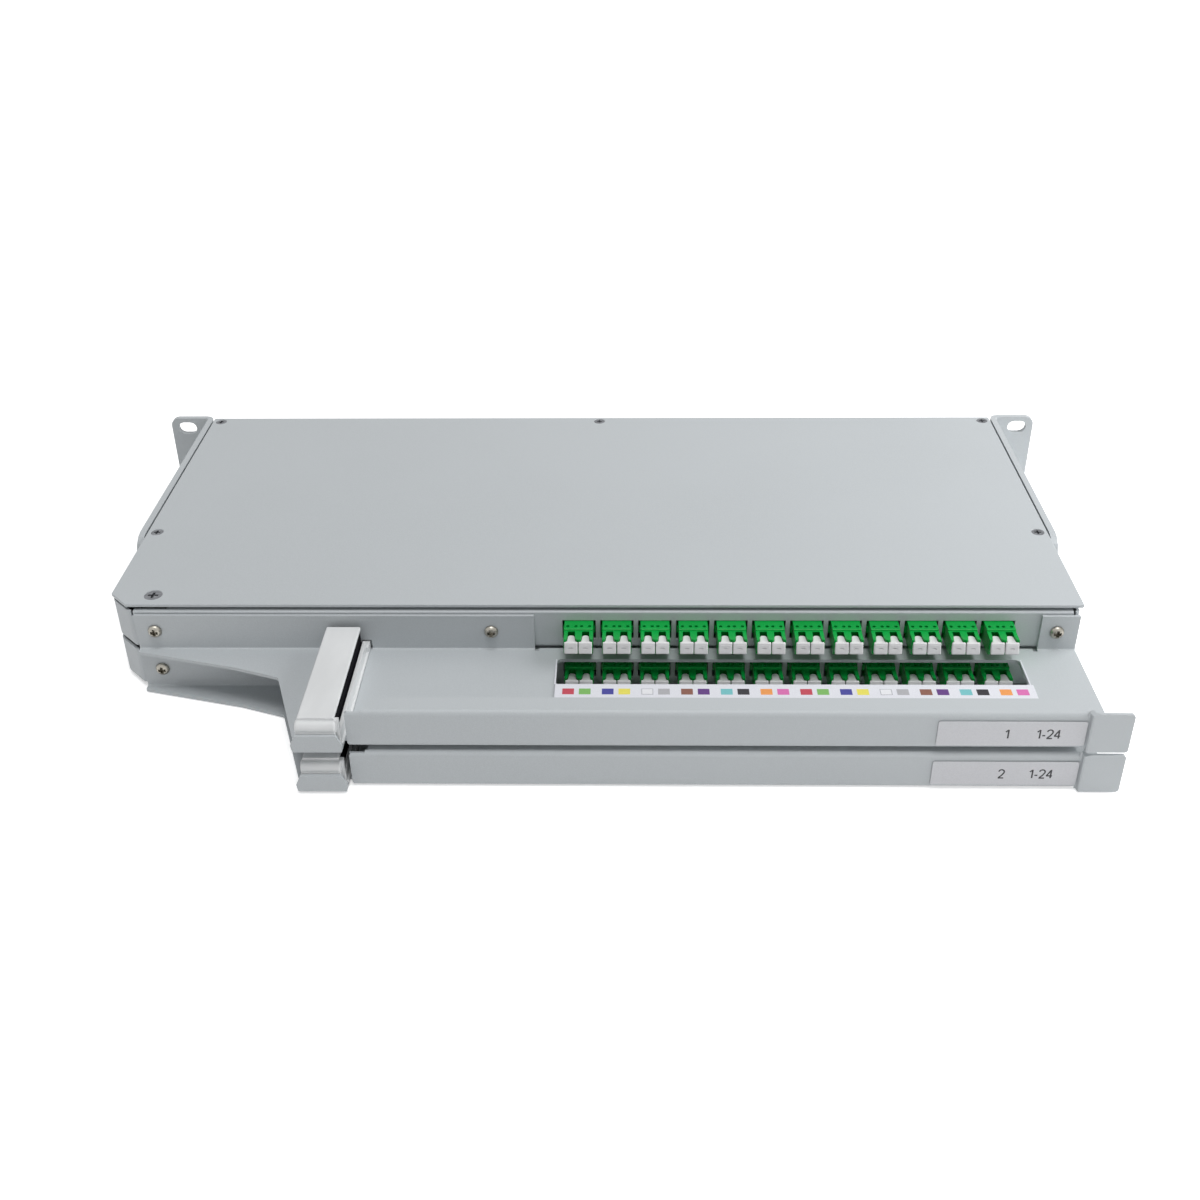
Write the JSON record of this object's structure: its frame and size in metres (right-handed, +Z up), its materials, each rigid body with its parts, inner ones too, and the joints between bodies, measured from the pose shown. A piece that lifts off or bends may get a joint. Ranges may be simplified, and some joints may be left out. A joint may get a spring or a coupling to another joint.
{
  "type": "fibre patch panel",
  "caption": "Low rack-mount fibre patch panel: flat sheet housing on two ears, with swing-out trays that carry green duplex adapters and cord shelves.",
  "frame": {"origin": "middle of the footprint, at the level of the underside", "axes": "+X to the right seen from the adapters' side, +Y to the back, where the rack ears are, +Z up"},
  "size_m": [0.4826, 0.2764, 0.0436],
  "materials": {
    "grey_coat": "light grey powder coat with a fine texture",
    "screw_nickel": "nickel-plated steel",
    "green_plastic": "green moulded plastic, slightly glossy",
    "white_plastic": "off-white moulded plastic",
    "black_foam": "soft open black foam",
    "black_rubber": "black rubber edging",
    "label_film": "satin printed film",
    "dark_plastic": "dark grey moulded plastic"
  },
  "bodies": {
    "housing": {"housing_base": "grey_coat", "top_cover": "grey_coat", "bracket_left": "grey_coat", "bracket_right": "grey_coat", "pivot_post": "screw_nickel", "pivot_screw": "screw_nickel", "entry_grommet_left": "black_rubber", "entry_grommet_right": "black_rubber", "cable_anchor": "screw_nickel", "cover_screw_1": "screw_nickel", "cover_screw_2": "screw_nickel", "cover_screw_3": "screw_nickel", "cover_screw_4": "screw_nickel", "cover_screw_5": "screw_nickel"},
    "upper_tray": {"tray_1": "grey_coat", "pivot_bush_1": "dark_plastic", "shelf_1": "grey_coat", "shelf_screw_1_1": "screw_nickel", "shelf_screw_1_2": "screw_nickel", "shelf_screw_1_3": "screw_nickel", "adapter_1_01": "green_plastic", "adapter_1_02": "green_plastic", "adapter_1_03": "green_plastic", "adapter_1_04": "green_plastic", "adapter_1_05": "green_plastic", "adapter_1_06": "green_plastic", "adapter_1_07": "green_plastic", "adapter_1_08": "green_plastic", "adapter_1_09": "green_plastic", "adapter_1_10": "green_plastic", "adapter_1_11": "green_plastic", "adapter_1_12": "green_plastic", "cord_guide_1": "white_plastic", "guide_foam_1": "black_foam", "label_plate_1": "label_film", "splice_cassette_1": "dark_plastic", "colour_strip_1": "label_film"},
    "lower_tray": {"tray_2": "grey_coat", "pivot_bush_2": "dark_plastic", "shelf_2": "grey_coat", "shelf_screw_2_1": "screw_nickel", "shelf_screw_2_2": "screw_nickel", "shelf_screw_2_3": "screw_nickel", "adapter_2_01": "green_plastic", "adapter_2_02": "green_plastic", "adapter_2_03": "green_plastic", "adapter_2_04": "green_plastic", "adapter_2_05": "green_plastic", "adapter_2_06": "green_plastic", "adapter_2_07": "green_plastic", "adapter_2_08": "green_plastic", "adapter_2_09": "green_plastic", "adapter_2_10": "green_plastic", "adapter_2_11": "green_plastic", "adapter_2_12": "green_plastic", "cord_guide_2": "white_plastic", "guide_foam_2": "black_foam", "label_plate_2": "label_film", "splice_cassette_2": "dark_plastic"}
  },
  "joints": [
    {"name": "upper_tray_swing", "type": "hinge", "parent": "housing", "child": "upper_tray", "pos_m": [-0.1968, -0.0529, 0.0218], "axis": [0, 0, -1], "range_deg": [0, 90]},
    {"name": "lower_tray_swing", "type": "hinge", "parent": "housing", "child": "lower_tray", "pos_m": [-0.1968, -0.0529, 0.0015], "axis": [0, 0, -1], "range_deg": [0, 90]}
  ]
}
